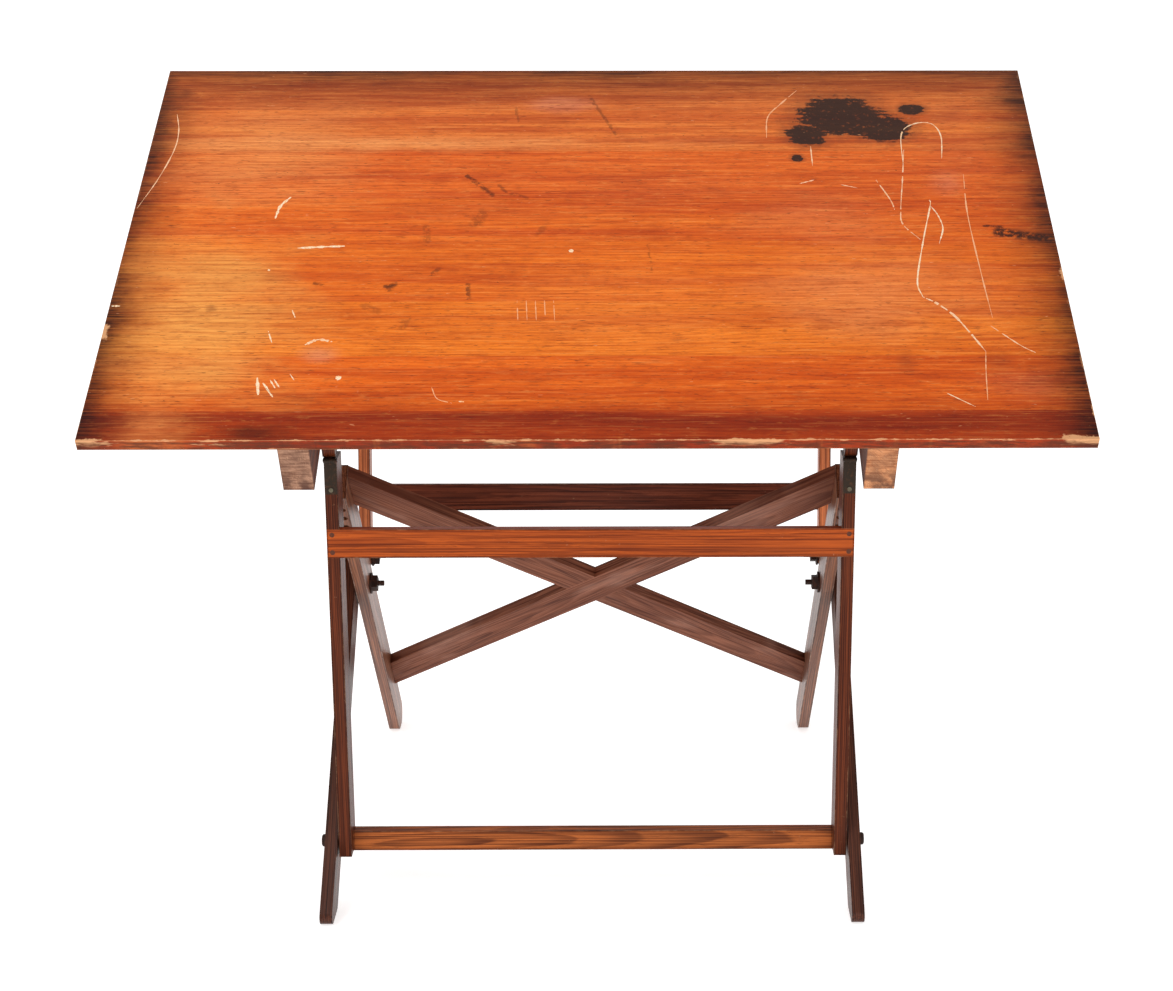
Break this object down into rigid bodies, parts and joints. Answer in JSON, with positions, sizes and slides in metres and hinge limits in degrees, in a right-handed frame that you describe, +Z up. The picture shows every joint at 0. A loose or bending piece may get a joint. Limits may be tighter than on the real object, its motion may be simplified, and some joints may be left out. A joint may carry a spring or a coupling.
{
  "type": "drafting table",
  "caption": "Wooden drafting table: plank board hinged on a front frame, crossed folding legs with a cross brace, and a slotted rear prop that sets the slope.",
  "frame": {"origin": "centre of the footprint of the bounding box, on the floor", "axes": "+X to the right of a person facing the board's front edge, +Y from the front edge to the rear, +Z up"},
  "size_m": [1.524, 0.9562, 1.298],
  "materials": {
    "board_wood": "varnished, worn",
    "cleat_wood": "worn, raw end grain",
    "rail_wood": "gloss varnish",
    "upright_wood": "gloss varnish",
    "outer_leg_wood": "dark varnish",
    "inner_leg_wood": "worn varnish",
    "brace_wood": "worn, dull",
    "prop_wood": "gloss varnish",
    "dowel_wood": "raw",
    "hinge_leaf": "dark, grimy",
    "hook_steel": "dark, rusty",
    "dark_steel": "dark, rusty",
    "wing_nut_iron": "dark, rusty"
  },
  "bodies": {
    "outer_legs": {"outer_leg_left": "outer_leg_wood", "outer_leg_right": "outer_leg_wood", "cross_pivot_bolts": "dark_steel", "cross_pivot_spacers": "dark_steel", "cross_pivot_washers": "dark_steel", "cross_pivot_nuts": "dark_steel"},
    "front_frame": {"front_upright_left": "upright_wood", "front_upright_right": "upright_wood", "front_top_rail": "rail_wood", "front_lower_rail": "rail_wood", "top_rail_screws": "dark_steel", "lower_rail_dowels": "dowel_wood", "lower_hinge_leaves": "hinge_leaf", "hinge_pins": "dark_steel", "leaf_screws": "dark_steel", "catch_hooks": "hook_steel", "lower_pivot_bolts": "dark_steel", "lower_pivot_washers": "dark_steel"},
    "inner_legs": {"inner_leg_left": "inner_leg_wood", "inner_leg_right": "inner_leg_wood", "brace_rising": "brace_wood", "brace_falling": "brace_wood", "brace_end_screws": "dark_steel"},
    "rear_pivots": {"rear_pivot_bolts": "dark_steel", "rear_pivot_spacers": "dark_steel", "rear_pivot_washers": "dark_steel", "rear_pivot_nuts": "dark_steel"},
    "rear_prop": {"rear_upright_left": "prop_wood", "rear_upright_right": "prop_wood", "rear_rail": "prop_wood", "rear_rail_screws": "dark_steel", "tilt_bolts": "dark_steel", "tilt_washers": "dark_steel"},
    "board": {"plank_1": "board_wood", "plank_2": "board_wood", "plank_3": "board_wood", "plank_4": "board_wood", "plank_5": "board_wood", "plank_6": "board_wood", "plank_7": "board_wood", "plank_8": "board_wood", "cleat_left": "cleat_wood", "cleat_right": "cleat_wood", "cleat_screws": "dark_steel", "hinge_block_left": "upright_wood", "hinge_block_right": "upright_wood", "block_screws": "dark_steel", "upper_hinge_leaves": "hinge_leaf"},
    "wing_nut_left": {"wing_nut_left": "wing_nut_iron"},
    "wing_nut_right": {"wing_nut_right": "wing_nut_iron"}
  },
  "joints": [
    {"name": "height_adjust", "type": "hinge", "parent": "outer_legs", "child": "front_frame", "pos_m": [0, -0.30209, 0.096], "axis": [1, 0, 0], "range_deg": [0, 6.8]},
    {"name": "inner_leg_turn", "type": "hinge", "parent": "outer_legs", "child": "inner_legs", "pos_m": [0, 0.03703, 0.43159], "axis": [1, 0, 0], "range_deg": [0, 6.18]},
    {"name": "rear_pivot_turn", "type": "hinge", "parent": "outer_legs", "child": "rear_pivots", "pos_m": [0, 0.07612, 0.47028], "axis": [1, 0, 0], "range_deg": [0, 15.29]},
    {"name": "prop_turn", "type": "hinge", "parent": "rear_pivots", "child": "rear_prop", "pos_m": [0, 0.07612, 0.47028], "axis": [1, 0, 0], "range_deg": [-15.94, 6.38]},
    {"name": "board_tilt", "type": "hinge", "parent": "front_frame", "child": "board", "pos_m": [0, -0.33309, 0.753], "axis": [1, 0, 0], "range_deg": [-10, 4]},
    {"name": "wing_nut_left_turn", "type": "hinge", "parent": "rear_prop", "child": "wing_nut_left", "pos_m": [-0.472, 0.19349, 1.13589], "axis": [1, 0, 0], "continuous": true},
    {"name": "wing_nut_right_turn", "type": "hinge", "parent": "rear_prop", "child": "wing_nut_right", "pos_m": [0.472, 0.19349, 1.13589], "axis": [1, 0, 0], "continuous": true}
  ],
  "couplings": [
    {"joint": "inner_leg_turn", "follows": "height_adjust", "ratio": 0.9071},
    {"joint": "rear_pivot_turn", "follows": "height_adjust", "ratio": 2.247},
    {"joint": "prop_turn", "follows": "board_tilt", "ratio": 1.593}
  ]
}
